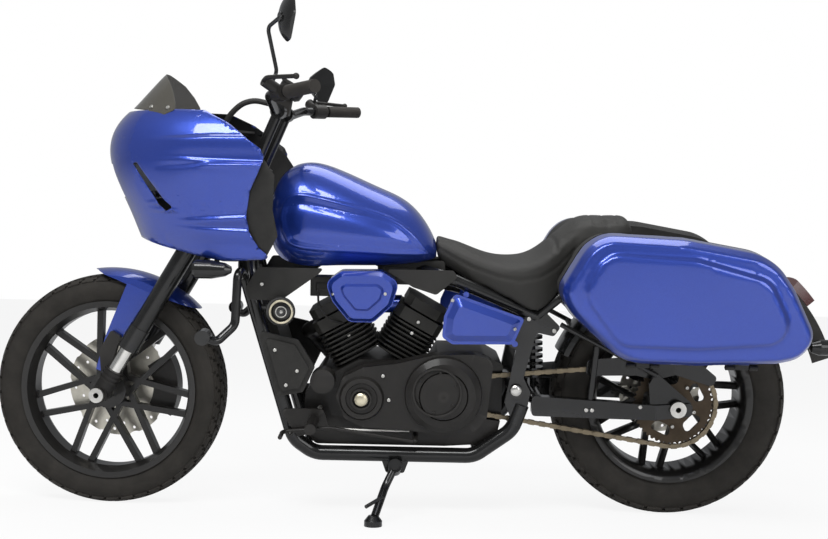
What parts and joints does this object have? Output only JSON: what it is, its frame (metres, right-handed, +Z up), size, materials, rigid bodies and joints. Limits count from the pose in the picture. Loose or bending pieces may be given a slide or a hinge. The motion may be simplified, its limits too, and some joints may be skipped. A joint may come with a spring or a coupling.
{
  "type": "cruiser motorcycle with fairing and saddlebags",
  "caption": "V-twin cruiser motorcycle with a frame-mounted fairing, hard saddlebags, cast spoked wheels and chain drive, leaning on its side stand.",
  "frame": {"origin": "bottom centre of the parked machine, on the floor", "axes": "+Z up, -X forward along the machine, -Y its left side, the side it leans to"},
  "size_m": [2.384, 0.9429, 1.3456],
  "materials": {
    "blue_paint": "metallic gloss",
    "gloss_black": "gloss",
    "satin_black": "satin",
    "fin_black": "matt",
    "bright_steel": "satin",
    "chain_steel": "oiled",
    "exhaust_black": "matt",
    "plastic": "matt",
    "horn": "gloss",
    "leather": "grained",
    "red_lens": "gloss",
    "smoke_screen": "clear",
    "lamp_glass": "clear",
    "tyre": "matt",
    "wheel_black": "gloss",
    "sprocket_steel": "oiled",
    "fork_chrome": "bright",
    "grip_rubber": "matt",
    "disc_steel": "ground"
  },
  "bodies": {
    "chassis": {"frame": "gloss_black", "swingarm": "gloss_black", "rear_axle": "bright_steel", "shock": "gloss_black", "chain": "chain_steel", "engine_block": "satin_black", "cylinders": "fin_black", "primary_cover": "satin_black", "air_cleaner": "blue_paint", "exhaust": "exhaust_black", "radiator": "fin_black", "shrouds": "plastic", "horn": "horn", "tank": "blue_paint", "seat": "leather", "side_covers": "blue_paint", "rear_fender": "plastic", "tail_lamp": "red_lens", "bag_tubs": "plastic", "fairing": "blue_paint", "fairing_inner": "plastic", "windshield": "smoke_screen", "headlamp": "lamp_glass", "turn_signals": "gloss_black", "engine_guard": "gloss_black", "foot_controls": "satin_black"},
    "fork": {"fork_clamps": "satin_black", "fork_tubes": "gloss_black", "fork_inner_tubes": "fork_chrome", "fork_lowers": "satin_black", "front_axle": "bright_steel", "front_fender": "blue_paint", "handlebar": "gloss_black", "grips": "grip_rubber", "hand_controls": "satin_black", "mirrors": "gloss_black"},
    "front_wheel": {"front_tyre": "tyre", "front_wheel": "wheel_black", "front_disc": "disc_steel"},
    "rear_wheel": {"rear_tyre": "tyre", "rear_wheel": "wheel_black", "rear_sprocket": "sprocket_steel"},
    "stand": {"side_stand": "gloss_black"},
    "lid_left": {"bag_lid_left": "blue_paint"},
    "lid_right": {"bag_lid_right": "blue_paint"}
  },
  "joints": [
    {"name": "steering", "type": "hinge", "parent": "chassis", "child": "fork", "pos_m": [-0.82427, 0.10375, 0.30524], "axis": [0.509, -0.1086, 0.8539], "range_deg": [-24.5, 35.5]},
    {"name": "front_wheel_spin", "type": "hinge", "parent": "fork", "child": "front_wheel", "pos_m": [-0.86282, 0.10515, 0.3284], "axis": [0.0825, 0.9936, 0.0772], "continuous": true},
    {"name": "rear_wheel_spin", "type": "hinge", "parent": "chassis", "child": "rear_wheel", "pos_m": [0.737, 0.1001, 0.33391], "axis": [0, 0.992, 0.1262], "continuous": true},
    {"name": "side_stand_fold", "type": "hinge", "parent": "chassis", "child": "stand", "pos_m": [-0.042, -0.05378, 0.14095], "axis": [0, -0.9524, 0.3049], "range_deg": [0, 100]},
    {"name": "lid_left_hinge", "type": "hinge", "parent": "chassis", "child": "lid_left", "pos_m": [0.732, -0.21631, 0.44386], "axis": [1, 0, 0], "range_deg": [0, 80]},
    {"name": "lid_right_hinge", "type": "hinge", "parent": "chassis", "child": "lid_right", "pos_m": [0.732, 0.37889, 0.51958], "axis": [-1, 0, 0], "range_deg": [0, 80]}
  ]
}
